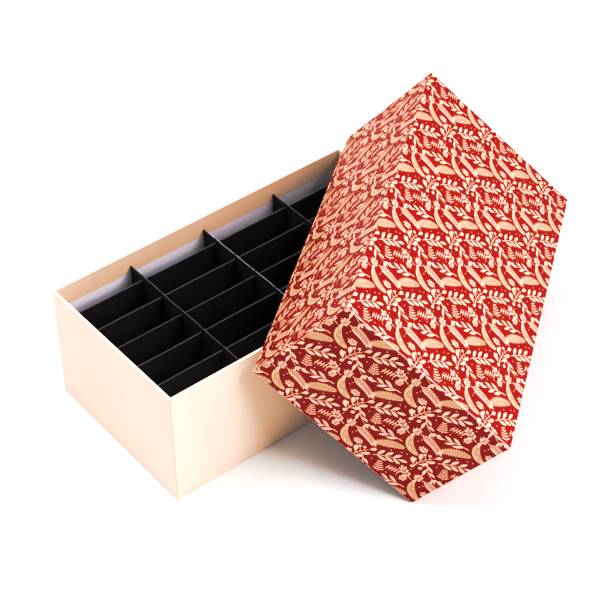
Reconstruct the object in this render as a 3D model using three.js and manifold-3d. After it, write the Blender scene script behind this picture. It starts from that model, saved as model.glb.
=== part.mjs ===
// Keepsake box with a loose grid of card dividers and a lift-off lid.
//
// Tray and lid are set-up boxes: five greyboard panels, paper stays round the four corners,
// a wrap of covering paper that is turned in over the rim, and paper linings. Eight slotted
// cards interlock into the grid, which stands loose in the tray and makes 24 compartments.
// The lid is off: it leans on the tray, with one long rim on the tray's edge and the other
// on the table.
//
// Millimetres, +Z up. The origin is the middle of the tray's underside and the tray's length
// runs along X. A box shell is built with its closed panel down at z = 0 and its rim up.

import * as THREE from "three";
import { mergeVertices } from "three/addons/utils/BufferGeometryUtils.js";
import Module from "manifold-3d";

const wasm = await Module();
wasm.setup();

// ---- Driving dimensions -------------------------------------------------------------------

const TRAY = { length: 300, width: 161, height: 111 };
const LID = { length: 308, width: 170, height: 108 };

const BOARD = 1.8;            // greyboard
const PAPER = 0.15;           // wrap, lining, base sheet and corner stays
const GLUE = 0.05;            // gap between two glued faces
const FOLD_GAP = 0.1;         // gap between two boards that meet at a fold
const RIM_TURN_IN = 20;       // wrap that shows inside, below the rim
const BASE_TURN_IN = 15;      // wrap that is turned in under the tray's base
const BASE_SHEET_INSET = 2;   // edge of the sheet that covers those turn-ins
const STAY_REACH = 14;        // each leg of a corner stay
const STAY_END_GAP = 2;       // bare board above and below a stay

const CARD = 0.8;             // divider card
const CARD_CLEARANCE = 0.35;  // between the grid and the tray
const SLOT_CLEARANCE = 0.3;   // each side of a card in its slot
const CROSS_TOP = 98.5;       // top of the cards that run across the tray
const LONG_TOP = 94.7;        // top of the cards that run along it
const COLUMN = { count: 3, pitch: 74.8, middle: -1 };
const ROW = { count: 5, pitch: 27, middle: 6.4 };

const LID_YAW = THREE.MathUtils.degToRad(36.1);   // the lid's length, turned from the tray's
const LID_ALONG = 199;        // from the lid's near end to the tray's corner, along the lid
const REST_GAP = 0.3;         // between the lid and the tray where the lid rests on it

const OUTER_SKIN = PAPER + GLUE + PAPER + GLUE;   // wrap over stay, outside a board
const INNER_SKIN = GLUE + PAPER;                  // turn-in or lining, inside a board
const WALL = OUTER_SKIN + BOARD + INNER_SKIN;

// ---- Materials ----------------------------------------------------------------------------

const finish = (color, roughness) => new THREE.MeshStandardMaterial({ color, roughness, metalness: 0 });

const greyboard = finish("#9a948a", 0.95);
const stayPaper = finish("#c7ab7d", 0.85);
const creamPaper = finish("#f3dcc4", 0.7);
const printedPaper = finish("#b3262a", 0.6);
const whitePaper = finish("#e9e6ee", 0.75);
const blackCard = finish("#17130f", 0.8);

// ---- Solids -------------------------------------------------------------------------------

// A plate that fills the box from `low` to `high`.
function plate(low, high) {
  const size = high.map((value, axis) => value - low[axis]);
  const geometry = new THREE.BoxGeometry(...size);
  return geometry.translate(...low.map((value, axis) => value + size[axis] / 2));
}

// A rectangle of the given size about the origin, as a THREE.Path or THREE.Shape.
function rectangle(Kind, length, width) {
  const [x, y] = [length / 2, width / 2];
  return new Kind([[-x, -y], [x, -y], [x, y], [-x, y]].map(([u, v]) => new THREE.Vector2(u, v)));
}

// A rectangular ring of paper or board that follows the inside of a length by width outline.
function ring({ length, width }, inset, thickness, bottom, top) {
  const shape = rectangle(THREE.Shape, length - 2 * inset, width - 2 * inset);
  const hole = inset + thickness;
  shape.holes.push(rectangle(THREE.Path, length - 2 * hole, width - 2 * hole));
  const geometry = new THREE.ExtrudeGeometry(shape, { depth: top - bottom, bevelEnabled: false });
  return geometry.translate(0, 0, bottom);
}

function toManifold(geometry) {
  const bare = geometry.index ? geometry.clone() : geometry;
  bare.deleteAttribute("normal");
  bare.deleteAttribute("uv");
  const merged = mergeVertices(bare, 1e-4);
  return new wasm.Manifold(new wasm.Mesh({
    numProp: 3,
    vertProperties: new Float32Array(merged.attributes.position.array),
    triVerts: new Uint32Array(merged.index.array),
  }));
}

function join(geometries) {
  const solid = geometries.map(toManifold).reduce((whole, next) => whole.add(next));
  const mesh = solid.getMesh();
  const geometry = new THREE.BufferGeometry();
  geometry.setAttribute("position", new THREE.BufferAttribute(mesh.vertProperties, 3));
  geometry.setIndex(new THREE.BufferAttribute(mesh.triVerts, 1));
  geometry.computeVertexNormals();
  return geometry;
}

function part(name, geometry, material) {
  const mesh = new THREE.Mesh(geometry, material);
  mesh.name = name;
  return mesh;
}

// ---- Box shell ----------------------------------------------------------------------------

// Five greyboard panels. `walls` names the ones at +X, -X, +Y and -Y.
function boards(prefix, { length, width, height }, floor, walls) {
  const [x, y] = [length / 2 - OUTER_SKIN, width / 2 - OUTER_SKIN];
  const [innerX, innerY] = [x - BOARD, y - BOARD];
  const [endY, panelX, panelY] = [innerY - FOLD_GAP, innerX - FOLD_GAP, innerY - FOLD_GAP];
  const top = height - PAPER - GLUE;
  const board = (name, low, high) => part(`${prefix}_${name}_board`, plate(low, high), greyboard);
  return [
    board(walls[0], [innerX, -endY, floor], [x, endY, top]),
    board(walls[1], [-x, -endY, floor], [-innerX, endY, top]),
    board(walls[2], [-x, innerY, floor], [x, y, top]),
    board(walls[3], [-x, -y, floor], [x, -innerY, top]),
    board(walls[4], [-panelX, -panelY, floor], [panelX, panelY, floor + BOARD]),
  ];
}

// A stay is an angle of kraft paper round the outside of one upright corner.
function cornerStay(name, size, floor, signX, signY) {
  const [x, y] = [size.length / 2 - PAPER - GLUE, size.width / 2 - PAPER - GLUE];
  const outline = [
    [0, 0], [STAY_REACH, 0], [STAY_REACH, PAPER], [PAPER, PAPER], [PAPER, STAY_REACH], [0, STAY_REACH],
  ];
  const points = outline.map(([u, v]) => new THREE.Vector2(signX * (x - u), signY * (y - v)));
  const height = size.height - floor - 2 * STAY_END_GAP;
  const geometry = new THREE.ExtrudeGeometry(new THREE.Shape(points), { depth: height, bevelEnabled: false });
  return part(name, geometry.translate(0, 0, floor + STAY_END_GAP), stayPaper);
}

// The wrap's four outer faces, its fold over the rim and its turn-in, as solids to be joined.
function wrapSides(size, bottom) {
  return [
    ring(size, 0, PAPER, bottom, size.height),
    ring(size, 0, WALL, size.height - PAPER, size.height),
    ring(size, WALL - PAPER, PAPER, size.height - RIM_TURN_IN, size.height),
  ];
}

// Linings stop just short of the turn-in. The panel's lining is a sheet on the closed end.
function linings(prefix, size, floor, panelName) {
  const inner = WALL - PAPER;
  const face = floor + BOARD + GLUE;
  const [x, y] = [size.length / 2 - WALL - GLUE, size.width / 2 - WALL - GLUE];
  const wallTop = size.height - RIM_TURN_IN - GLUE;
  return [
    part(`${prefix}_wall_lining`, ring(size, inner, PAPER, face, wallTop), whitePaper),
    part(`${prefix}_${panelName}_lining`, plate([-x, -y, face], [x, y, face + PAPER]), whitePaper),
  ];
}

function shell(prefix, size, floor, walls, stayNames) {
  const signs = [[1, 1], [-1, 1], [-1, -1], [1, -1]];
  const stays = signs.map(([sx, sy], i) => cornerStay(`${prefix}_stay_${stayNames[i]}`, size, floor, sx, sy));
  return [...boards(prefix, size, floor, walls), ...stays, ...linings(prefix, size, floor, walls[4])];
}

// ---- Tray ---------------------------------------------------------------------------------

function makeTray() {
  const group = new THREE.Group();
  const turnIn = PAPER + GLUE;                    // the turn-in lies on the base sheet
  const floor = turnIn + PAPER + GLUE;
  const [x, y] = [TRAY.length / 2 - BASE_SHEET_INSET, TRAY.width / 2 - BASE_SHEET_INSET];
  const wrap = join([...wrapSides(TRAY, turnIn), ring(TRAY, 0, BASE_TURN_IN, turnIn, turnIn + PAPER)]);
  group.add(
    ...shell("tray", TRAY, floor, ["right", "left", "back", "front", "base"],
      ["back_right", "back_left", "front_left", "front_right"]),
    part("tray_wrap", wrap, creamPaper),
    part("tray_base_sheet", plate([-x, -y, 0], [x, y, PAPER]), creamPaper),
  );
  return group;
}

// ---- Divider grid -------------------------------------------------------------------------

const spread = ({ count, pitch, middle }) =>
  Array.from({ length: count }, (_, i) => middle + (i - (count - 1) / 2) * pitch);

// A card seen from its side: `half` to each side of the middle, from `bottom` to `top`, with a
// slot at each of `places` that is open at the bottom or at the top and ends at `slotEnd`.
function slottedCard(half, bottom, top, places, slotEnd, openAtTop) {
  const slot = CARD / 2 + SLOT_CLEARANCE;
  const open = openAtTop ? top : bottom;
  const closed = openAtTop ? bottom : top;
  const points = [[-half, open]];
  for (const place of places) {
    points.push([place - slot, open], [place - slot, slotEnd], [place + slot, slotEnd], [place + slot, open]);
  }
  points.push([half, open], [half, closed], [-half, closed]);
  const shape = new THREE.Shape(points.map(([u, v]) => new THREE.Vector2(u, v)));
  return new THREE.ExtrudeGeometry(shape, { depth: CARD, bevelEnabled: false }).translate(0, 0, -CARD / 2);
}

function makeDividers() {
  const group = new THREE.Group();
  const [columns, rows] = [spread(COLUMN), spread(ROW)];
  const bottom = 2 * (PAPER + GLUE) + BOARD + INNER_SKIN + CARD_CLEARANCE;
  const middle = (bottom + LONG_TOP) / 2;
  const halfLength = TRAY.length / 2 - WALL - CARD_CLEARANCE;
  const halfWidth = TRAY.width / 2 - WALL - CARD_CLEARANCE;

  columns.forEach((x, i) => {
    const card = slottedCard(halfWidth, bottom, CROSS_TOP, rows, middle + SLOT_CLEARANCE, false);
    const divider = part(`cross_divider_${i + 1}`, card, blackCard);
    divider.rotation.set(Math.PI / 2, Math.PI / 2, 0);
    divider.position.x = x;
    group.add(divider);
  });
  rows.forEach((y, i) => {
    const card = slottedCard(halfLength, bottom, LONG_TOP, columns, middle - SLOT_CLEARANCE, true);
    const divider = part(`long_divider_${i + 1}`, card, blackCard);
    divider.rotation.x = Math.PI / 2;
    divider.position.y = y;
    group.add(divider);
  });
  return group;
}

// ---- Lid ----------------------------------------------------------------------------------

function makeLid() {
  const [halfLength, halfWidth] = [LID.length / 2, LID.width / 2];
  const upturned = new THREE.Group();             // closed panel down, as every shell is built
  const closedFace = plate([-halfLength, -halfWidth, 0], [halfLength, halfWidth, PAPER]);
  upturned.add(
    ...shell("lid", LID, PAPER + GLUE, ["far_end", "near_end", "low_side", "high_side", "top"],
      ["far_low", "near_low", "near_high", "far_high"]),
    part("lid_wrap", join([...wrapSides(LID, 0), closedFace]), printedPaper),
  );
  upturned.rotation.x = Math.PI;
  upturned.position.set(halfLength, halfWidth, LID.height);

  // Rolled about its low rim, so far that the inner edge of its high rim is on the tray's rim.
  const lean = Math.asin((TRAY.height + REST_GAP) / (LID.width - WALL));
  const along = new THREE.Vector3(Math.cos(LID_YAW), Math.sin(LID_YAW), 0);
  const across = new THREE.Vector3(-along.y, along.x, 0);
  const leaning = new THREE.Group();
  leaning.rotation.set(lean, 0, LID_YAW, "ZYX");
  leaning.position.set(TRAY.length / 2, -TRAY.width / 2, 0)
    .addScaledVector(along, -LID_ALONG)
    .addScaledVector(across, -(WALL * Math.cos(lean) + REST_GAP));
  leaning.add(upturned);
  return leaning;
}

const box = new THREE.Group();
box.add(makeTray(), makeDividers(), makeLid());

export default box;
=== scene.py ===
"""A divided keepsake box: cream tray, loose grid of black cards, and a printed lid leaning on it."""

import math
import random

import bmesh
import bpy
import numpy as np
from mathutils import Matrix, Vector
from mathutils.geometry import delaunay_2d_cdt


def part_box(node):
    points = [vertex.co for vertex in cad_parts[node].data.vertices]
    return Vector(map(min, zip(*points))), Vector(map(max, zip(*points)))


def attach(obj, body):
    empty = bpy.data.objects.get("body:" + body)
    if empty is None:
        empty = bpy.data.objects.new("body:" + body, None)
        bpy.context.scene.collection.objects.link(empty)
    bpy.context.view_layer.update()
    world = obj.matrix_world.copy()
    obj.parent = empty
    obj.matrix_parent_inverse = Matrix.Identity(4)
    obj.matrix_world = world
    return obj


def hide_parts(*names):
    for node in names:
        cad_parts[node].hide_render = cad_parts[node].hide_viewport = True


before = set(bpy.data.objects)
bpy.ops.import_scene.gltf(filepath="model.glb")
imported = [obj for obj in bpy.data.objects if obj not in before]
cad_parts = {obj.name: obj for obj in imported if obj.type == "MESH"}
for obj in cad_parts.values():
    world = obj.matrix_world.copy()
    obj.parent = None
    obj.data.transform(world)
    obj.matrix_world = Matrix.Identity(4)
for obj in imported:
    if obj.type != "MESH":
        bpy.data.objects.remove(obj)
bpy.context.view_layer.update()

# ---- Dimensions, in millimetres -------------------------------------------------------------

MM = 0.001
WALL = 2.4                # board with its papers, at the rim
TURN_IN = 20.0            # wrap that shows inside, below the rim
BASE_TURN_IN = 15.0       # wrap under the tray's base
FOLD_RADIUS = 0.8         # outer edges and corners of the wrap
RIM_RADIUS = 0.45         # the wrap's two tighter folds at the rim
SLOT_CLEARANCE = 0.3      # each side of a card in its slot
CARD_BOW = 0.4            # most that a card bows between two slots
CARD_SOFTNESS = 0.12      # bevel on a card's edges
TILE = 36 * math.sqrt(2)  # the print repeats on a square grid that lies at 45 degrees
SAME_POINT = 1e-5         # points of the flat sheet that are nearer than this become one

BAY_STEPS = 10            # faces along a card between two slots
BAY_ROWS = 4              # faces up each half of a card's height

# The printed wrap's material slots. Where two inks overlap, the later one in this list shows.
# The last two slots are the fold strips: worn bare paper, and also paler as a painted highlight on the
# rounded folds.
GROUND, CREAM, TAN, VEIN, WORN_AND_PAINTED_LIGHT, WORN_INK_AND_HIGHLIGHT = range(6)


# ---- Materials ------------------------------------------------------------------------------

def add(tree, kind, **values):
    node = tree.nodes.new(kind)
    for name, value in values.items():
        setattr(node, name, value)
    return node


def noise(tree, coordinates, scale, detail=3.0, stretch=(1, 1, 1)):
    """A noise texture, finer where scale is larger. A low value in stretch draws it out along
    that axis."""
    mapping = add(tree, "ShaderNodeMapping")
    mapping.inputs["Scale"].default_value = stretch
    texture = add(tree, "ShaderNodeTexNoise")
    texture.inputs["Scale"].default_value = scale
    texture.inputs["Detail"].default_value = detail
    tree.links.new(coordinates, mapping.inputs["Vector"])
    tree.links.new(mapping.outputs["Vector"], texture.inputs["Vector"])
    return texture.outputs["Fac"]


def spread(tree, value, low, high):
    """The middle half of a noise, spread from low to high."""
    node = add(tree, "ShaderNodeMapRange")
    node.inputs["From Min"].default_value = 0.25
    node.inputs["From Max"].default_value = 0.75
    node.inputs["To Min"].default_value = low
    node.inputs["To Max"].default_value = high
    tree.links.new(value, node.inputs["Value"])
    return node.outputs["Result"]


def paper(name, colour, rough=(0.55, 0.7), fibre=900.0, tooth=0.00004, wave=0.0, gloss=0.25,
          varied=None, streak=(1, 1, 1), patch=9.0):
    """Paper or board: fine fibres, uneven roughness, soft waves from the glue, and, where varied
    is given, patches of a second colour. tooth and wave are heights in metres."""
    material = bpy.data.materials.new(name)
    material.use_nodes = True
    tree = material.node_tree
    shader = tree.nodes["Principled BSDF"]
    shader.inputs["Base Color"].default_value = (*colour, 1)
    shader.inputs["Specular IOR Level"].default_value = gloss
    place = add(tree, "ShaderNodeTexCoord").outputs["Object"]
    uneven = noise(tree, place, scale=60.0, detail=4.0)
    tree.links.new(spread(tree, uneven, *rough), shader.inputs["Roughness"])
    fibres = add(tree, "ShaderNodeBump")
    fibres.inputs["Distance"].default_value = tooth
    fibres.inputs["Strength"].default_value = 0.6
    tree.links.new(noise(tree, place, scale=fibre, detail=6.0), fibres.inputs["Height"])
    if wave:
        waves = add(tree, "ShaderNodeBump")
        waves.inputs["Distance"].default_value = wave
        tree.links.new(noise(tree, place, scale=22.0, detail=1.0), waves.inputs["Height"])
        tree.links.new(waves.outputs["Normal"], fibres.inputs["Normal"])
    tree.links.new(fibres.outputs["Normal"], shader.inputs["Normal"])
    if varied:
        mix = add(tree, "ShaderNodeMix", data_type="RGBA")
        mix.inputs["A"].default_value = (*colour, 1)
        mix.inputs["B"].default_value = (*varied, 1)
        patches = noise(tree, place, scale=patch, detail=5.0, stretch=streak)
        tree.links.new(spread(tree, patches, 0.0, 1.0), mix.inputs["Factor"])
        tree.links.new(mix.outputs["Result"], shader.inputs["Base Color"])
    return material


def print_materials():
    """The lid's paper, in the order of GROUND to WORN_INK_AND_HIGHLIGHT."""
    return [
        paper("print_ground", (0.29, 0.012, 0.012), (0.4, 0.5), wave=0.0001, gloss=0.15),
        paper("print_cream", (0.93, 0.6, 0.45), (0.45, 0.6), wave=0.0001),
        paper("print_tan", (0.76, 0.49, 0.33), (0.45, 0.6), wave=0.0001),
        paper("print_vein", (0.3, 0.09, 0.05), (0.45, 0.6), wave=0.0001),
        # Fold strips: pinker and paler for worn bare paper and for a painted highlight on the rounded folds.
        paper("print_worn_and_highlight", (0.8, 0.36, 0.36), (0.6, 0.8)),
        paper("print_worn_ink_and_highlight", (0.94, 0.58, 0.5), (0.6, 0.8)),
    ]


# ---- The print: leafy motifs, each about its own middle and pointing along +X, in millimetres ----

def spine(start, heading, length, bend, steps):
    """A gently curved stem: (x, y, heading) at evenly spaced places, turning by bend in all."""
    x, y = start
    places = [(x, y, heading)]
    for _ in range(steps):
        middle = heading + bend / steps / 2
        x += math.cos(middle) * length / steps
        y += math.sin(middle) * length / steps
        heading += bend / steps
        places.append((x, y, heading))
    return places


def along(places, t):
    """The place a share t of the way along a spine."""
    f = min(max(t, 0.0), 1.0) * (len(places) - 1)
    i = min(int(f), len(places) - 2)
    a, b, k = places[i], places[i + 1], f - i
    return tuple(a[j] + (b[j] - a[j]) * k for j in range(3))


def strip(places, half_width):
    """The outline of a band along a spine. half_width(t) is given for t from 0 to 1."""
    left, right = [], []
    for i, (x, y, heading) in enumerate(places):
        h = half_width(i / (len(places) - 1))
        dx, dy = -math.sin(heading) * h, math.cos(heading) * h
        left.append((x + dx, y + dy))
        right.append((x - dx, y - dy))
    return left + right[::-1]


def leaf(base, heading, length, width, belly=0.5, steps=4, bend=0.0):
    """A leaf with a point at each end, widest a share belly along it."""
    power = math.log(0.5) / math.log(belly)
    places = spine(base, heading, length, bend, steps)
    outline = strip(places, lambda t: width / 2 * math.sin(math.pi * t ** power))
    half = len(places)
    return outline[:half] + outline[half + 1:-1]


def stem(places, thick):
    """A stem along a spine, which thins to 0.4 of its thickness at the tip."""
    return strip(places, lambda t: thick / 2 * (1 - 0.6 * t))


def dot(centre, radius, corners=8, squash=1.0):
    """A round spot, or an oval one where squash is under 1."""
    points = []
    for i in range(corners):
        a = 2 * math.pi * i / corners
        points.append((centre[0] + radius * math.cos(a), centre[1] + radius * squash * math.sin(a)))
    return points


def paired(places, pairs, first, last, splay, size, belly, steps=4):
    """Leaves in pairs along a stem and one at its tip. size(t) gives a leaf's length and width."""
    shapes = []
    for i in range(pairs):
        t = first + (last - first) * i / (pairs - 1)
        for side in (1, -1):
            x, y, heading = along(places, t)
            length, width = size(t)
            turned = heading + side * splay
            shapes.append(leaf((x, y), turned, length, width, belly, steps, bend=-side * 0.25))
    x, y, heading = places[-1]
    length, width = size(1.0)
    shapes.append(leaf((x, y), heading, length, width, belly, steps))
    return shapes


def single_leaves(places, rows, splay, bend, belly, steps=5):
    """Leaves one by one along a stem. rows hold (share of the stem, side, length, width), and
    side 0 is a leaf that goes straight on from the tip."""
    shapes = []
    for t, side, length, width in rows:
        x, y, heading = along(places, t)
        turned = heading + side * splay
        shapes.append(leaf((x, y), turned, length, width, belly, steps, bend=-side * bend))
    return shapes


def in_cream(*outlines):
    return [(CREAM, outline) for outline in outlines]


def laurel():
    places = spine((-13, -2.5), heading=0.3, length=20.0, bend=-0.4, steps=6)
    leaves = paired(places, pairs=3, first=0.16, last=0.8, splay=0.78, belly=0.58, steps=5,
                    size=lambda t: (9.8 - 1.4 * t, 3.1))
    return in_cream(stem(places, 0.9), *leaves)


def berry_sprig():
    places = spine((-13, -5), heading=0.55, length=20.5, bend=-0.7, steps=6)
    rows = [(0.1, 1, 10.0, 3.9), (0.44, 1, 9.4, 3.9), (0.24, -1, 9.6, 3.0), (0.6, -1, 8.2, 2.9),
            (1.0, 0, 7.6, 3.4)]
    leaves = single_leaves(places, rows, splay=0.9, bend=0.35, belly=0.68, steps=6)
    stalks = []
    for t, side, reach in ((0.28, 1, 5.0), (0.68, 1, 5.4), (0.86, 1, 3.4), (0.84, -1, 4.4), (0.48, -1, 4.6)):
        x, y, heading = along(places, t)
        a = heading + side * 1.1
        end = (x + math.cos(a) * reach, y + math.sin(a) * reach)
        stalks += [stem([(x, y, a), (*end, a)], 0.6), dot(end, 1.4)]
    return in_cream(stem(places, 1.0), *leaves, *stalks)


def fir_twig():
    places = spine((-11, 0), heading=0.2, length=19.0, bend=-0.4, steps=5)
    needles = paired(places, pairs=8, first=0.06, last=0.95, splay=0.6, belly=0.5, steps=2,
                     size=lambda t: (8.6 - 3.0 * t, 1.15))
    return in_cream(stem(places, 0.8), *needles)


def bud():
    places = spine((-11, 2), heading=-0.4, length=16.0, bend=0.6, steps=5)
    rows = [(0.06, 1, 8.2, 2.5), (0.26, -1, 9.2, 2.5), (0.5, 1, 7.6, 2.4)]
    leaves = single_leaves(places, rows, splay=0.7, bend=0.3, belly=0.55)
    x, y, heading = places[-1]
    petals = [leaf((x, y), heading + turn, 5.0, 2.1, 0.62) for turn in (-0.75, 0.0, 0.75)]
    return in_cream(stem(places, 0.85), *leaves, *petals)


def young_sprig():
    places = spine((-8, 0), heading=0.15, length=12.0, bend=-0.3, steps=4)
    leaves = paired(places, pairs=3, first=0.3, last=0.9, splay=0.85, belly=0.62,
                    size=lambda t: (5.4 - 0.8 * t, 2.3))
    return in_cream(stem(places, 0.8), *leaves)


def open_branch():
    places = spine((-12, 1.5), heading=-0.1, length=18.0, bend=0.35, steps=5)
    rows = [(0.2, 1, 9.2, 2.5), (0.36, -1, 8.8, 2.5), (0.58, 1, 8.2, 2.4), (0.72, -1, 7.6, 2.4),
            (1.0, 0, 6.6, 2.3)]
    leaves = single_leaves(places, rows, splay=0.6, bend=0.2, belly=0.55)
    return in_cream(stem(places, 0.85), *leaves)


def little_tree():
    branches = []
    for i in range(5):
        for side in (1, -1):
            branches.append(leaf((2.5 * i - 5.0, 0), side * 1.2, 5.6 - 0.8 * i, 1.4, steps=3))
    return in_cream(stem([(-6.4, 0, 0), (6.2, 0, 0)], 0.8), *branches)


def comb():
    teeth = [leaf((2.5 * i - 6.3, -3.7), 1.2, 7.8, 1.3, steps=3) for i in range(5)]
    return in_cream(*teeth, stem([(-6.0, -0.4, 0), (6.6, 0.4, 0)], 0.6))


def leaflet():
    places = spine((-5, 0), heading=0.0, length=5.5, bend=0.2, steps=2)
    leaves = paired(places, pairs=3, first=0.2, last=0.9, splay=1.0, belly=0.6, steps=3,
                    size=lambda t: (4.2 - 0.8 * t, 1.7))
    return in_cream(stem(places, 0.7), *leaves)


def plume():
    """A broad feathered leaf with a notched edge and fine veins."""
    steps = 26
    places = spine((-12.5, 1.6), heading=-0.3, length=25.0, bend=0.6, steps=steps)

    def half_width(t):
        notch = 0.6 if round(t * steps) % 2 else 1.0
        return 0.3 + 4.2 * notch * math.sin(math.pi * min(t * 0.97 + 0.02, 1)) ** 0.6

    shapes = [(TAN, strip(places, half_width)), (VEIN, stem(places[:steps - 4], 0.6))]
    for i in range(9):
        for side in (1, -1):
            x, y, heading = along(places, 0.1 + 0.085 * i)
            shapes.append((VEIN, leaf((x, y), heading + side * 0.8, 4.4, 0.55, 0.45, 2)))
    return shapes


def crescent():
    """A thick curved leaf, veined along its length."""
    places = spine((-10.6, -3.0), heading=0.8, length=24.0, bend=-1.5, steps=9)
    shapes = [(TAN, strip(places, lambda t: 1.1 + 2.3 * math.sin(math.pi * t) ** 0.7))]
    veins = [(0.1, 1.1, 7.0), (0.42, 1.6, 8.0), (0.2, -0.5, 9.0), (0.6, -1.1, 7.0), (0.1, -1.4, 6.0),
             (0.62, 0.5, 6.6), (0.4, 0.2, 6.0), (0.3, -1.9, 6.0)]
    for t, offset, length in veins:
        x, y, heading = along(places, t)
        base = (x - math.sin(heading) * offset, y + math.cos(heading) * offset)
        shapes.append((VEIN, leaf(base, heading - 0.14, length, 0.55, 0.5, 3, bend=-0.42)))
    return shapes


def berry():
    return in_cream(dot((0, 0), 1.8, corners=9, squash=0.85))


def speck():
    return in_cream(dot((0, 0), 0.6, corners=5))


# One tile of the print: a motif, its middle, the way it points in degrees, and its size.
LAYOUT = [
    (laurel, 10.6, 7.2, -10, 0.98),
    (berry_sprig, 38.4, 9.6, 24, 1.0),
    (plume, 10.6, 21.2, 176, 1.0),
    (crescent, 28.8, 23.0, 97, 0.94),
    (fir_twig, 43.4, 27.0, -52, 1.06),
    (open_branch, 10.8, 33.6, 152, 1.08),
    (bud, 41.8, 43.4, -72, 1.0),
    (young_sprig, 23.4, 43.0, 118, 1.0),
    (little_tree, 2.0, 46.4, 78, 0.95),
    (comb, 13.4, 44.8, -24, 0.94),
    (leaflet, 34.0, 39.0, 40, 1.1),
    (leaflet, 37.4, 20.8, 128, 1.0),
    (leaflet, 21.4, 36.6, 30, 0.95),
]
# Middles of the small marks that fill the gaps.
BERRIES = [(28.4, 0.6), (29.6, 34.6), (50.2, 18.4), (34.6, 50.0), (49.4, 36.8)]
SPECKS = [(20.6, 13.6), (0.6, 16.2), (24.6, 12.6), (31.0, 13.6), (19.6, 27.6), (36.4, 30.2),
          (33.6, 28.4), (30.4, 41.6), (7.4, 40.2), (47.6, 2.4), (46.0, 38.6), (12.4, 14.6),
          (36.8, 1.6), (27.2, 47.4), (15.4, 39.2)]


def one_tile():
    """The tile's shapes, each as its ink and its outline."""
    placed = [*LAYOUT]
    placed += [(berry, x, y, 20, 1.0) for x, y in BERRIES]
    placed += [(speck, x, y, 0, 1.0) for x, y in SPECKS]
    shapes = []
    for motif, x, y, turn, size in placed:
        c, s = math.cos(math.radians(turn)) * size, math.sin(math.radians(turn)) * size
        for ink, outline in motif():
            shapes.append((ink, [(x + a * c - b * s, y + a * s + b * c) for a, b in outline]))
    return shapes


def print_over(size):
    """Every printed shape that touches a box's flat sheet. A tile's upright lies along the sheet's
    diagonal."""
    flap = size[2] + WALL + TURN_IN
    panel_x, panel_y = size[0] / 2, size[1] / 2
    reach_x, reach_y = panel_x + flap, panel_y + flap
    arms = ((reach_x, panel_y), (panel_x, reach_y))  # half sizes of the sheet's two crossing arms
    tile = [(ink, np.array(outline)) for ink, outline in one_tile()]
    half = math.sqrt(0.5)
    turn = np.array([[half, -half], [half, half]])
    count = int((reach_x + reach_y) / TILE) + 2
    shapes = []
    for i in range(-count, count + 1):
        for j in range(-count, count + 1):
            middle = (np.array([i + 0.5, j + 0.5]) * TILE) @ turn
            if abs(middle[0]) > reach_x + TILE or abs(middle[1]) > reach_y + TILE:
                continue
            for ink, outline in tile:
                points = (outline + np.array([i, j]) * TILE) @ turn
                low, high = points.min(0), points.max(0)
                if any(low[0] < x and low[1] < y and high[0] > -x and high[1] > -y for x, y in arms):
                    shapes.append((ink, points))
    return shapes


# ---- Wraps: one sheet, folded round the closed panel, down the walls, over the rim and in -----

def shell_frame(panel_board, wrap):
    """The matrix of a box shell's own frame, and its size in mm. In that frame the closed panel's
    outer face is at z = 0, the rim is up, and the length lies along x."""
    panel = np.array([v.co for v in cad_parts[panel_board].data.vertices])
    skin = np.array([v.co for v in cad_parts[wrap].data.vertices])
    long_axis, _, normal = np.linalg.svd(panel - panel.mean(0), full_matrices=False)[2]
    long_axis = long_axis * np.sign(long_axis[0])
    normal = normal * np.sign(normal @ (skin.mean(0) - panel.mean(0)))
    axes = np.array([long_axis, np.cross(normal, long_axis), normal])
    reach = skin @ axes.T
    low, high = reach.min(0), reach.max(0)
    origin = np.array([(low[0] + high[0]) / 2, (low[1] + high[1]) / 2, low[2]]) @ axes
    matrix = Matrix(axes.T.tolist()).to_4x4()
    matrix.translation = Vector(origin)
    return matrix, (high - low) / MM


def rim_profile(s, height):
    """How deep inside the outer face, and how high, a place on a flap is. s is measured down the
    flap from the closed panel's edge. Also the normal there, as (outward, up)."""
    r, quarter = RIM_RADIUS, math.pi / 2
    inner = height + WALL
    if s <= height - r:
        return 0.0, s, (1.0, 0.0)
    if s < height + r:
        a = (s - height + r) / (2 * r) * quarter
        return r * (1 - math.cos(a)), height - r + r * math.sin(a), (math.cos(a), math.sin(a))
    if s <= inner - r:
        return s - height, height, (0.0, 1.0)
    if s < inner + r:
        a = (s - inner + r) / (2 * r) * quarter
        return WALL - r + r * math.sin(a), height - r + r * math.cos(a), (-math.sin(a), math.cos(a))
    return WALL, height - (s - inner), (-1.0, 0.0)


def fold_sheet(u, v, size):
    """Where a place on the flat sheet goes when it is folded round the box, and the normal there."""
    a, b, height = size[0] / 2, size[1] / 2, size[2]
    depth, z, (out, up) = 0.0, 0.0, (1.0, 0.0)
    x, y = u, v
    if abs(u) > a or abs(v) > b:
        end_flap = abs(u) > a
        s = abs(u) - a if end_flap else abs(v) - b
        half = b if end_flap else a
        depth, z, (out, up) = rim_profile(s, height)
        mitred = half - min(max(s - height, 0.0), WALL)
        shift = (half - depth) / mitred
        x = math.copysign(a - depth, u) if end_flap else u * shift
        y = v * shift if end_flap else math.copysign(b - depth, v)
    # Edges and corners of the outer face are rounded about a core that lies a radius inside it.
    r = FOLD_RADIUS
    core = Vector((min(max(x, r - a), a - r), min(max(y, r - b), b - r), max(z, r)))
    if depth == 0:
        away = (Vector((x, y, z)) - core).normalized()
        return core + away * r, away
    # On the rim the corner's rounding tightens as the paper goes in, down to a square inner corner.
    if depth < r:
        side = (Vector((x, y)) - Vector(core[:2])).normalized()
        place = Vector(core[:2]) + side * (r - depth)
        return Vector((*place, z)), Vector((side.x * out, side.y * out, up)).normalized()
    side = Vector((math.copysign(1, u), 0)) if abs(u) > a else Vector((0, math.copysign(1, v)))
    return Vector((x, y, z)), Vector((side.x * out, side.y * out, up)).normalized()


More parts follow.
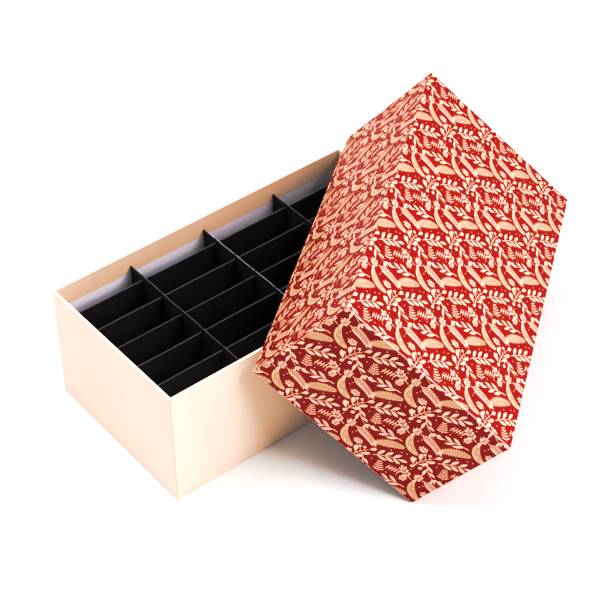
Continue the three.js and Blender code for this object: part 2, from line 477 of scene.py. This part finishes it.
def fold_lines(half, height):
    """Where the sheet bends, measured from its middle: the rounded stretches get several lines."""
    r, t = FOLD_RADIUS, RIM_RADIUS
    lines = [half - r, half - r / 2, half, half + r / 2, half + r]
    for fold in (half + height, half + height + WALL):
        lines += [fold - t, fold - t / 3, fold, fold + t / 3, fold + t]
    return lines


def sheet_regions(size):
    """The flat sheet's panel and its four flaps, as outlines. A flap narrows where it crosses the
    rim, as its corners are mitred."""
    a, b, height = size[0] / 2, size[1] / 2, size[2]
    regions = [[(-a, -b), (a, -b), (a, b), (-a, b)]]
    for half, across, is_end in ((a, b, True), (b, a, False)):
        rim, inner = half + height, half + height + WALL
        side = [(half, -across), (rim, -across), (inner, WALL - across), (inner + TURN_IN, WALL - across)]
        outline = side + [(p, -q) for p, q in reversed(side)]
        for sign in (1, -1):
            if is_end:
                regions.append([(sign * p, sign * q) for p, q in outline])
            else:
                regions.append([(-sign * q, sign * p) for p, q in outline])
    return regions


def cut_sheet(size, outlines, hollow):
    """Points and triangles of the flat sheet, cut along every outline and fold. The triangles also
    fill the corners between the flaps."""
    a, b, height = size[0] / 2, size[1] / 2, size[2]
    reach = (a + height + WALL + TURN_IN, b + height + WALL + TURN_IN)
    points, edges = [], []

    def cut(line, closed=True):
        first = len(points)
        points.extend(Vector((float(x), float(y))) for x, y in line)
        edges.extend((i, i + 1) for i in range(first, len(points) - 1))
        if closed:
            edges.append((len(points) - 1, first))

    for outline in outlines:
        cut(outline)
    for fold in fold_lines(a, height):
        for x in (fold, -fold):
            cut([(x, -reach[1]), (x, reach[1])], closed=False)
    for fold in fold_lines(b, height):
        for y in (fold, -fold):
            cut([(-reach[0], y), (reach[0], y)], closed=False)
    if hollow:
        x, y = hollow
        cut([(-x, -y), (x, -y), (x, y), (-x, y)])
    # The outlines go in as edges only, because some of them cross themselves.
    flat, _, triangles, _, _, _ = delaunay_2d_cdt(points, edges, [], 0, SAME_POINT, False)
    return flat, triangles


def wrap_mesh(name, size, shapes, hollow=None):
    """The folded sheet as a mesh in the shell's own frame. shapes are printed outlines on the sheet.
    Inside `hollow`, a half length and half width on the panel, there is no paper."""
    regions = sheet_regions(size)
    flat, triangles = cut_sheet(size, [*regions, *(outline for _, outline in shapes)], hollow)
    middles = np.array(flat)[np.array(triangles)].mean(1)
    on_sheet = np.any([inside(middles, np.array(region)) for region in regions], axis=0)
    if hollow:
        on_sheet &= (np.abs(middles) > hollow).any(1)
    inks = inks_at(middles, shapes)
    # Fold strips get colours of their own: worn bare paper with a painted highlight on the lid, and a
    # painted highlight on the tray's rim with painted shade on its other folds.
    worn_and_painted_light = on_worn_and_painted_light_fold(middles, size)
    inks[worn_and_painted_light] = np.where(inks[worn_and_painted_light] == GROUND, WORN_AND_PAINTED_LIGHT, WORN_INK_AND_HIGHLIGHT)
    kept = [triangles[i] for i in np.flatnonzero(on_sheet)]
    used = sorted({i for triangle in kept for i in triangle})
    index = {old: new for new, old in enumerate(used)}
    # Mirrored, because the shell's own frame sees the sheet's printed side from behind.
    folded = [fold_sheet(flat[i].x, -flat[i].y, size) for i in used]
    mesh = bpy.data.meshes.new(name)
    mesh.from_pydata([place * MM for place, _ in folded], [], [[index[i] for i in t] for t in kept])
    mesh.polygons.foreach_set("material_index", inks[on_sheet].tolist())
    mesh.polygons.foreach_set("use_smooth", [True] * len(kept))
    mesh.normals_split_custom_set_from_vertices([normal for _, normal in folded])
    return mesh


def inside(points, outline):
    """Which of the points a closed outline goes round. It may cross itself."""
    start, end = outline, np.roll(outline, -1, 0)
    x, y = points[:, :1], points[:, 1:]
    rise = end[:, 1] - start[:, 1]
    spans = (start[:, 1] <= y) != (end[:, 1] <= y)
    crossing = start[:, 0] + (y - start[:, 1]) / np.where(rise == 0, 1, rise) * (end[:, 0] - start[:, 0])
    return np.where(spans & (x < crossing), np.sign(rise), 0).sum(1) != 0


def inks_at(points, shapes):
    """The ink at each point: the highest of the shapes that cover it."""
    order = np.argsort(points[:, 0])
    ranked = points[order, 0]
    inks = np.full(len(points), GROUND)
    for ink, outline in shapes:
        low, high = outline.min(0), outline.max(0)
        first, last = np.searchsorted(ranked, (low[0], high[0]))
        near = order[first:last]
        near = near[(points[near, 1] > low[1]) & (points[near, 1] < high[1])]
        near = near[inside(points[near], outline)]
        inks[near] = np.maximum(inks[near], ink)
    return inks


def on_worn_and_painted_light_fold(points, size):
    """Which points lie on the fold strips that get a colour of their own: along the closed panel's two end
    edges, the upright corners, and both folds of the rim. On the lid they are worn bare paper with a painted
    highlight on the rounded folds; on the tray the rim folds carry a painted highlight and the rest painted
    shade."""
    a, b, height = size[0] / 2, size[1] / 2, size[2]
    x, y = np.abs(points[:, 0]), np.abs(points[:, 1])
    end_flap = x - a > y - b
    s = np.where(end_flap, x - a, y - b)
    to_corner = np.where(end_flap, b - y, a - x)
    end_edge = end_flap & (np.abs(s) < FOLD_RADIUS)
    upright = (s > 0) & (s < height) & (to_corner < FOLD_RADIUS / 2)
    rim = (np.abs(s - height) < RIM_RADIUS) | (np.abs(s - height - WALL) < RIM_RADIUS)
    return end_edge | upright | rim


def show(name, mesh, matrix, materials, body, node):
    """Puts a piece in the scene on its body, in place of a CAD node."""
    piece = bpy.data.objects.new(name, mesh)
    bpy.context.scene.collection.objects.link(piece)
    for material in materials:
        mesh.materials.append(material)
    piece.matrix_world = matrix
    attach(piece, body)
    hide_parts(node)
    return piece


def make_lid_wrap():
    matrix, size = shell_frame("lid_top_board", "lid_wrap")
    mesh = wrap_mesh("lid_printed_wrap", size, print_over(size))
    show("lid_printed_wrap", mesh, matrix, print_materials(), "lid", "lid_wrap")


def make_tray_wrap():
    """The plain cream wrap. Its rim folds are paler as a painted highlight, and its base's end edges and
    upright corners are darker brown as painted shade.
    """
    matrix, size = shell_frame("tray_base_board", "tray_wrap")
    cream = paper("tray_cream", (0.96, 0.73, 0.58), (0.5, 0.68), wave=0.00012,
                  varied=(0.94, 0.69, 0.53), streak=(6, 6, 0.6), patch=8.0)
    # A paler rim, which is a painted highlight, and darker brown end edges and upright corners, which are
    # painted shade.
    rim = paper("tray_cream_rim_highlight", (0.93, 0.79, 0.69), (0.6, 0.8))
    corner = paper("tray_cream_corner_shade", (0.8, 0.47, 0.3), (0.6, 0.8))
    materials = [cream, rim, corner]
    hollow = (size[0] / 2 - BASE_TURN_IN, size[1] / 2 - BASE_TURN_IN)
    mesh = wrap_mesh("tray_cream_wrap", size, [], hollow)
    rim_low = (size[2] - RIM_RADIUS) * MM
    for face in mesh.polygons:
        if face.material_index == WORN_AND_PAINTED_LIGHT:
            face.material_index = materials.index(rim if face.center.z > rim_low else corner)
    show("tray_cream_wrap", mesh, matrix, materials, "tray", "tray_wrap")


# ---- Divider grid ---------------------------------------------------------------------------

def card_mesh(name, low, high, crossings, slot_floor, open_at_top, rng):
    """A card's middle surface in its own frame: x along it, z up. It is cut into bays at its slots,
    and each bay bows a little, as thin card does between the places that hold it."""
    half_slot = (high.y - low.y) / 2 + SLOT_CLEARANCE * MM
    cuts = [low.x]
    for x in crossings:
        cuts += [x - half_slot, x + half_slot]
    cuts.append(high.x)
    heights = [low.z, slot_floor, high.z]
    bm = bmesh.new()
    placed = {}

    def vertex(x, z, bow):
        """The vertex at a place, made once and shared by the faces round it."""
        key = (round(x, 7), round(z, 7))
        if key not in placed:
            placed[key] = bm.verts.new((x, bow, z))
        return placed[key]

    for n in range(len(cuts) - 1):
        is_slot = n % 2 == 1
        steps, rows = (1, 1) if is_slot else (BAY_STEPS, BAY_ROWS)
        bow = 0 if is_slot else rng.uniform(-CARD_BOW * MM, CARD_BOW * MM)
        for level in (0, 1):
            if is_slot and (level == 1) == open_at_top:
                continue
            for i in range(steps):
                for j in range(rows):
                    quad = []
                    for di, dj in ((0, 0), (1, 0), (1, 1), (0, 1)):
                        f, g = (i + di) / steps, (j + dj) / rows
                        x = cuts[n] + (cuts[n + 1] - cuts[n]) * f
                        z = heights[level] + (heights[level + 1] - heights[level]) * g
                        quad.append(vertex(x, z, bow * math.sin(math.pi * f) ** 2))
                    bm.faces.new(quad)
    mesh = bpy.data.meshes.new(name)
    bm.to_mesh(mesh)
    bm.free()
    mesh.polygons.foreach_set("use_smooth", [True] * len(mesh.polygons))
    return mesh


def make_card(node, across, crossings, slot_floor, open_at_top, materials, rng):
    """A divider in place of its CAD node. The cross dividers lie across the tray."""
    low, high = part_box(node)
    middle = (low + high) / 2
    if across:
        matrix = Matrix.Translation((middle.x, 0, 0)) @ Matrix.Rotation(math.pi / 2, 4, "Z")
        low, high = (Vector((c.y, c.x - middle.x, c.z)) for c in (low, high))
    else:
        matrix = Matrix.Translation((0, middle.y, 0))
        low, high = (Vector((c.x, c.y - middle.y, c.z)) for c in (low, high))
    mesh = card_mesh(node + "_card", low, high, crossings, slot_floor, open_at_top, rng)
    card = show(node + "_card", mesh, matrix, materials, "insert", node)
    thick = card.modifiers.new("thickness", "SOLIDIFY")
    thick.thickness = high.y - low.y
    thick.offset = 0
    thick.use_even_offset = True
    thick.material_offset_rim = 1
    soft = card.modifiers.new("soft_edges", "BEVEL")
    soft.width = CARD_SOFTNESS * MM
    soft.segments = 2
    soft.limit_method = "ANGLE"
    soft.harden_normals = True


def make_dividers():
    """The black cards with their pale cut edges. The middle cross divider's edge is painted paler still, as
    a painted highlight.
    """
    rng = random.Random(24)

    def middle(node, axis):
        return sum(corner[axis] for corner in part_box(node)) / 2

    cross = sorted(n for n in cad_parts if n.startswith("cross_divider"))
    long = sorted(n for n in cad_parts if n.startswith("long_divider"))
    columns = [middle(n, 0) for n in cross]
    rows = [middle(n, 1) for n in long]
    slot_floor = middle(long[0], 2)
    face = paper("card_black", (0.02, 0.017, 0.018), (0.5, 0.75), fibre=1400.0,
                 varied=(0.03, 0.026, 0.027), patch=30.0)
    # 0.16 is the cut card's own grey; 0.42 on the middle cross divider is a painted highlight along its cut
    # edge.
    for node, grey in zip(cross, (0.16, 0.42, 0.16)):
        edge = paper(node + "_edge", (grey,) * 3, (0.6, 0.85), varied=(grey * 0.6,) * 3, patch=120.0)
        make_card(node, True, rows, slot_floor, False, [face, edge], rng)
    edge = paper("long_divider_edge", (0.17, 0.165, 0.165), (0.6, 0.85), varied=(0.1, 0.1, 0.1), patch=120.0)
    for node in long:
        make_card(node, False, columns, slot_floor, True, [face, edge], rng)


# ---- Pieces that keep their CAD shape -------------------------------------------------------

def dress_cad_nodes():
    """Linings, boards, corner stays and the tray's base sheet."""
    lining = paper("lining_white", (0.97, 0.93, 1.0), (0.6, 0.75), varied=(0.93, 0.88, 0.97), patch=14.0)
    board = paper("greyboard", (0.3, 0.27, 0.22), (0.8, 0.95), fibre=500.0, tooth=0.0001,
                  varied=(0.2, 0.18, 0.15), patch=160.0)
    kraft = paper("stay_kraft", (0.55, 0.38, 0.19), (0.6, 0.8), varied=(0.45, 0.3, 0.14), patch=60.0)
    cream = paper("base_cream", (0.93, 0.78, 0.63), (0.5, 0.68), varied=(0.88, 0.72, 0.57))
    for name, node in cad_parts.items():
        if name.endswith("_lining"):
            material = lining
        elif name.endswith("_board"):
            material = board
        elif "_stay_" in name:
            material = kraft
        elif name == "tray_base_sheet":
            material = cream
        else:
            continue
        node.data.materials.clear()
        node.data.materials.append(material)


# ---- Studio, in metres ----------------------------------------------------------------------

FLOOR_REACH = 4.0
FLOOR_DROP = 0.0002       # keeps the floor clear of the tray's underside
LIGHTS_AIM = Vector((0, 0, 0.08))
CAMERA_PLACE = (-0.6342, -0.8344, 1.0006)
CAMERA_TURN = math.radians(-38.94)   # about the upright, from a look along +Y
CAMERA_TILT = math.radians(48.405)   # up from a look straight down
CAMERA_ROLL = -0.0074                # radians
CAMERA_LENS = 101.56                 # millimetres, on a 36 mm sensor
# Darkens the dark tones and lifts the light ones, as the photograph's processing seems to.
TONE_CURVE = ((0.15, 0.07), (0.315, 0.215), (0.45, 0.46), (0.56, 0.63), (0.8, 0.84), (0.92, 0.95))


def make_floor():
    """A white floor, there for the picture only."""
    bm = bmesh.new()
    bmesh.ops.create_grid(bm, x_segments=4, y_segments=4, size=FLOOR_REACH)
    mesh = bpy.data.meshes.new("floor")
    bm.to_mesh(mesh)
    bm.free()
    floor = bpy.data.objects.new("floor", mesh)
    bpy.context.scene.collection.objects.link(floor)
    floor.location.z = -FLOOR_DROP
    white = bpy.data.materials.new("studio_white")
    white.use_nodes = True
    shader = white.node_tree.nodes["Principled BSDF"]
    shader.inputs["Base Color"].default_value = (0.98, 0.98, 0.98, 1)
    shader.inputs["Roughness"].default_value = 0.9
    shader.inputs["Specular IOR Level"].default_value = 0.2
    mesh.materials.append(white)


def area_light(name, place, side, power):
    light = bpy.data.lights.new(name, "AREA")
    light.shape = "RECTANGLE"
    light.size = light.size_y = side
    light.energy = power
    lamp = bpy.data.objects.new(name, light)
    bpy.context.scene.collection.objects.link(lamp)
    lamp.location = place
    lamp.rotation_euler = (LIGHTS_AIM - Vector(place)).to_track_quat("-Z", "Y").to_euler()


def make_lights():
    """A dim white surround and four soft lights."""
    world = bpy.data.worlds.new("studio")
    bpy.context.scene.world = world
    world.use_nodes = True
    background = world.node_tree.nodes["Background"]
    background.inputs["Color"].default_value = (1, 1, 1, 1)
    background.inputs["Strength"].default_value = 0.3
    area_light("key", (0.8, -1.6, 1.5), side=1.5, power=46)
    area_light("fill", (-1.5, -0.9, 1.2), side=1.2, power=4)
    area_light("back", (-0.6, 0.9, 1.9), side=1.4, power=34)
    area_light("overhead", (0.1, 0.15, 1.7), side=1.6, power=12)


def make_camera():
    """The photograph's view."""
    scene = bpy.context.scene
    camera = bpy.data.objects.new("camera", bpy.data.cameras.new("camera"))
    scene.collection.objects.link(camera)
    scene.camera = camera
    camera.data.lens = CAMERA_LENS
    camera.data.sensor_width = 36
    turn = Matrix.Rotation(CAMERA_TURN, 4, "Z")
    tilt = Matrix.Rotation(CAMERA_TILT, 4, "X")
    roll = Matrix.Rotation(CAMERA_ROLL, 4, "Z")
    camera.matrix_world = Matrix.Translation(CAMERA_PLACE) @ (turn @ tilt) @ roll


def set_tones():
    view = bpy.context.scene.view_settings
    view.view_transform = "Standard"
    view.use_curve_mapping = True
    view.curve_mapping.tone = "FILMLIKE"
    all_colours = view.curve_mapping.curves[3]
    for place in TONE_CURVE:
        all_colours.points.new(*place)
    view.curve_mapping.update()


make_floor()
make_lights()
make_camera()
set_tones()
make_tray_wrap()
make_lid_wrap()
make_dividers()
dress_cad_nodes()
